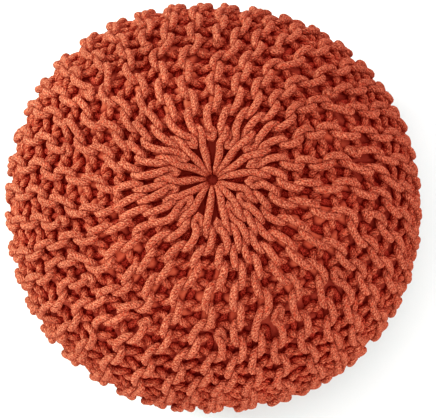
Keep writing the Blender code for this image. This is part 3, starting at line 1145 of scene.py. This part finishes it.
def finish_bag(material):
    tree, surface = shader(material)
    place = node(tree, "ShaderNodeTexCoord", (-1100, 0))
    depth = node(tree, "ShaderNodeAttribute", (-1100, 300), attribute_name="bag_depth")
    mottle = noise_of(tree, (-800, 100), place.outputs["Object"], MOTTLE_SCALE, 4.0, 0.6)
    weave = noise_of(tree, (-800, -200), place.outputs["Object"], WEAVE_SCALE, 1.0, 0.5)
    # painted shade on the cloth: the deeper it lies, the more of the shade colour
    bag_lit_share = stretched(tree, (-600, 300), depth.outputs["Fac"], *BAG_SHADE_DEPTHS)
    colour = mixed(tree, (-400, 60), stretched(tree, (-600, 100), mottle, *MOTTLE), BAG_RED, BAG_PALE)
    colour = mixed(tree, (-280, 160), bag_lit_share, BAG_SHADE, colour)
    fill_in(
        tree, surface,
        Base_Color=placed(tree, DYE, (-160, 60), Color=colour, Depth=0.12, Size=0.05).outputs["Color"],
        Roughness=stretched(tree, (-400, -200), weave, *BAG_ROUGH),
        Normal=raised(tree, (-160, -260), weave, 0.5, WEAVE_RELIEF),
        Sheen_Weight=0.05, Sheen_Tint=(1.0, 0.5, 0.4, 1), Specular_IOR_Level=0.06,
    )


finish_bag(bag_material)
print("finishes:", cord_material.name, bag_material.name)

# %% [markdown]
# ## In the frame
#
# The solids that came with the frame stay as they are, hidden, and these pieces show in their
# place: the three cord pieces for the knitted cover, the bag for the bag. The solids that came with the
# frame stay as they are for fit and weight, and these pieces show in their place: the three cord pieces
# for the knitted cover, the bag for the bag. All are soft and filled.

# %% Tie the pieces to the frame
for piece in cord_pieces.values():
    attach(piece, "root")
    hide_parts("knit_cover")
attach(bag, "root")
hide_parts("inner_bag")
print("tied:", ", ".join([*cord_pieces, bag.name]))

# %% [markdown]
# ## Floor, light and camera
#
# The pouf stands on a pale floor that fades to white, with a soft shadow towards the right and the front.

# %% Floor
FLOOR_GREY = (0.685, 0.69, 0.71, 1)
FLOOR_GLOW = 0.04
EDGE = 6  # from the middle of the floor to its edge
floor_mesh = bpy.data.meshes.new("floor")
corners = [(-EDGE, -EDGE, 0), (EDGE, -EDGE, 0), (EDGE, EDGE, 0), (-EDGE, EDGE, 0)]
floor_mesh.from_pydata(corners, [], [(0, 1, 2, 3)])
floor = linked("floor", floor_mesh)
floor_material = bpy.data.materials.new("pale_floor")
floor_mesh.materials.append(floor_material)
tree, surface = shader(floor_material)
fill_in(tree, surface, Base_Color=FLOOR_GREY, Roughness=0.8)
fill_in(tree, surface, Emission_Color=(1, 1, 1, 1), Emission_Strength=FLOOR_GLOW)
print("floor:", [round(size, 1) for size in floor.dimensions[:2]], "m")

# %% [markdown]
# The light comes from all round, a little stronger from the left, as from a large window, with a weak one in
# front. The look is that of a contrasty film: its black isn't quite black but a dark red, and its red gives
# way gently in the lights, so the lit cords stay orange and don't turn pink.

# %% Light
ROOM_COLOUR = (1, 0.87, 0.85, 1)
ROOM_STRENGTH = 1.345
LAMP_COLOUR = (0.87, 1, 0.88)
LAMP_AIM = (0, 0, 0.1)
FILM_BLACK = (-0.036, 0.002, 0.002)  # red, green and blue of what shows as black
FILM_RED = ((0.30, 0.30), (0.56, 0.51), (0.74, 0.63))  # how bright a red is, and how it is shown

world = bpy.data.worlds.new("studio")
bpy.context.scene.world = world
world.use_nodes = True
background = world.node_tree.nodes["Background"]
fill_in(world.node_tree, background, Color=ROOM_COLOUR, Strength=ROOM_STRENGTH)
view = bpy.context.scene.view_settings
view.view_transform = "Standard"
view.look = "High Contrast"
view.use_curve_mapping = True
view.curve_mapping.black_level = FILM_BLACK
for bright, shown in FILM_RED:
    view.curve_mapping.curves[0].points.new(bright, shown)
view.curve_mapping.update()


def aim(thing, place, target):
    """Puts a lamp or the camera in its place and turns it to its target."""
    thing.location = place
    thing.rotation_euler = (Vector(target) - thing.location).to_track_quat("-Z", "Y").to_euler()


def soft_box(name, place, size, power):
    light = bpy.data.lights.new(name, "AREA")
    light.shape = "DISK"
    light.size = size
    light.energy = power
    light.color = LAMP_COLOUR
    aim(linked(name, light), place, LAMP_AIM)
    print(name, "of", power, "W")


soft_box("key_light", place=(-2.3, 0.7, 1.25), size=1.1, power=67)
soft_box("front_light", place=(0.2, -2.2, 0.9), size=1.6, power=14)

# %% [markdown]
# The camera looks down steeply, about twelve degrees off straight down, from far enough that the sides hardly
# widen. The gather then sits just above the middle of the outline.

# %% Camera
VIEW_WIDTH = 0.5205
CAMERA_DISTANCE = 2.4
ELEVATION = math.radians(78.4)
AIM = Vector((0.0064, -0.0044, 0.1385))
SENSOR = 36
camera_data = bpy.data.cameras.new("camera")
camera_data.sensor_width = SENSOR
camera_data.lens = SENSOR * CAMERA_DISTANCE / VIEW_WIDTH
camera = linked("camera", camera_data)
away = CAMERA_DISTANCE * Vector((0, -math.cos(ELEVATION), math.sin(ELEVATION)))
aim(camera, AIM + away, AIM)
bpy.context.scene.camera = camera
print(f"lens {camera_data.lens:.0f} mm, {CAMERA_DISTANCE} m away")
